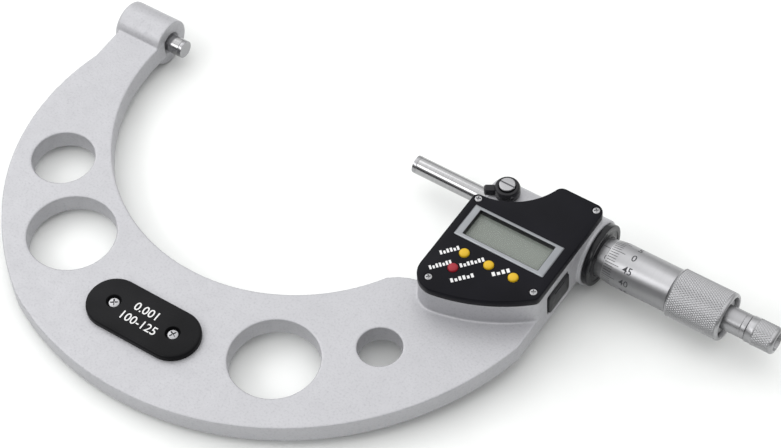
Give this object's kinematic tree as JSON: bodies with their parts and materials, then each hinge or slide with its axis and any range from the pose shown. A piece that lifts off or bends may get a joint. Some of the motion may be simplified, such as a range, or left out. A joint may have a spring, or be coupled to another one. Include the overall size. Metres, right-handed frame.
{
  "type": "outside micrometer",
  "caption": "Digital outside micrometer with a C-shaped bow, display housing, spindle clamp, graduated thimble and ratchet stop.",
  "frame": {"origin": "centre of the anvil's measuring face, on the spindle axis", "axes": "+X along the spindle axis from the anvil to the thimble, +Z out of the display side, the bow hangs towards -Y"},
  "size_m": [0.2684, 0.1434, 0.0289],
  "materials": {
    "frame_paint": "silver hammer paint, satin",
    "ground_steel": "ground and polished",
    "carbide": "lapped",
    "hardened_steel": "ground",
    "satin_chrome": "satin chrome",
    "black_gloss": "gloss",
    "brass": "turned",
    "spring_steel": "drawn",
    "dark_steel": "blackened",
    "board_green": "solder mask",
    "cover_plastic": "fine moulded texture",
    "black_rubber": "matte",
    "bright_steel": "bright nickel",
    "bezel_metal": "satin anodised",
    "clear_window": "clear",
    "lcd_grey": "grey-green display film",
    "strip_rubber": "matte",
    "grey_rubber": "matte",
    "button_yellow": "satin",
    "button_red": "satin",
    "black_plastic": "moulded",
    "cell_steel": "bright nickel",
    "plate_black": "semi gloss"
  },
  "bodies": {
    "base": {"frame": "frame_paint", "anvil": "ground_steel", "anvil_tip": "carbide", "nose_bush": "hardened_steel", "barrel": "hardened_steel", "adjusting_nut": "hardened_steel", "sleeve": "satin_chrome", "flange_ring": "black_gloss", "encoder_stator": "board_green", "front_cover": "cover_plastic", "cover_gasket": "black_rubber", "cover_screws": "bright_steel", "lcd_bezel": "bezel_metal", "lcd_window": "clear_window", "lcd_panel": "lcd_grey", "lcd_strips": "strip_rubber", "circuit_board": "board_green", "board_screws": "bright_steel", "keypad_mat": "grey_rubber", "battery_contacts": "brass", "clamp_plug": "brass", "plate_front": "plate_black", "plate_back": "plate_black", "plate_screws_front": "bright_steel", "plate_screws_back": "bright_steel"},
    "rotor": {"rotor_hub": "brass", "encoder_rotor": "board_green", "rotor_key": "hardened_steel"},
    "spindle": {"spindle": "ground_steel", "spindle_tip": "carbide", "thimble": "satin_chrome", "ratchet_neck": "satin_chrome", "ratchet_stud": "dark_steel", "ratchet_spring": "spring_steel"},
    "plunger": {"ratchet_plunger": "brass"},
    "ratchet": {"ratchet_knob": "satin_chrome"},
    "clamp": {"clamp_knob": "black_gloss", "clamp_screw": "bright_steel"},
    "key_left": {"button_left": "button_yellow"},
    "key_middle": {"button_middle": "button_yellow"},
    "key_right": {"button_right": "button_yellow"},
    "key_lower": {"button_lower": "button_red"},
    "drawer": {"battery_drawer": "black_plastic", "battery": "cell_steel"}
  },
  "joints": [
    {"name": "spindle_turn", "type": "hinge", "parent": "base", "child": "rotor", "pos_m": [0.16, 0, 0], "axis": [1, 0, 0], "range_deg": [0, 18000]},
    {"name": "spindle_feed", "type": "slide", "parent": "rotor", "child": "spindle", "axis": [1, 0, 0], "range_m": [0, 0.025]},
    {"name": "ratchet_turn", "type": "hinge", "parent": "spindle", "child": "ratchet", "pos_m": [0.236, 0, 0], "axis": [1, 0, 0], "continuous": true},
    {"name": "ratchet_click", "type": "slide", "parent": "spindle", "child": "plunger", "axis": [-1, 0, 0], "range_m": [0, 0.0004], "stiffness_N_per_m": 2000, "deforming": ["ratchet_spring"]},
    {"name": "clamp_turn", "type": "hinge", "parent": "base", "child": "clamp", "pos_m": [0.1374, 0, 0.011], "axis": [0, 0, 1], "range_deg": [-60, 0]},
    {"name": "key_left_press", "type": "slide", "parent": "base", "child": "key_left", "axis": [0, 0, -1], "range_m": [0, 0.0006], "stiffness_N_per_m": 4000},
    {"name": "key_middle_press", "type": "slide", "parent": "base", "child": "key_middle", "axis": [0, 0, -1], "range_m": [0, 0.0006], "stiffness_N_per_m": 4000},
    {"name": "key_right_press", "type": "slide", "parent": "base", "child": "key_right", "axis": [0, 0, -1], "range_m": [0, 0.0006], "stiffness_N_per_m": 4000},
    {"name": "key_lower_press", "type": "slide", "parent": "base", "child": "key_lower", "axis": [0, 0, -1], "range_m": [0, 0.0006], "stiffness_N_per_m": 4000},
    {"name": "drawer_pull", "type": "slide", "parent": "base", "child": "drawer", "axis": [1, 0, 0], "range_m": [0, 0.016]}
  ],
  "couplings": [
    {"joint": "spindle_turn", "follows": "spindle_feed", "rad_per_m": 12566}
  ]
}
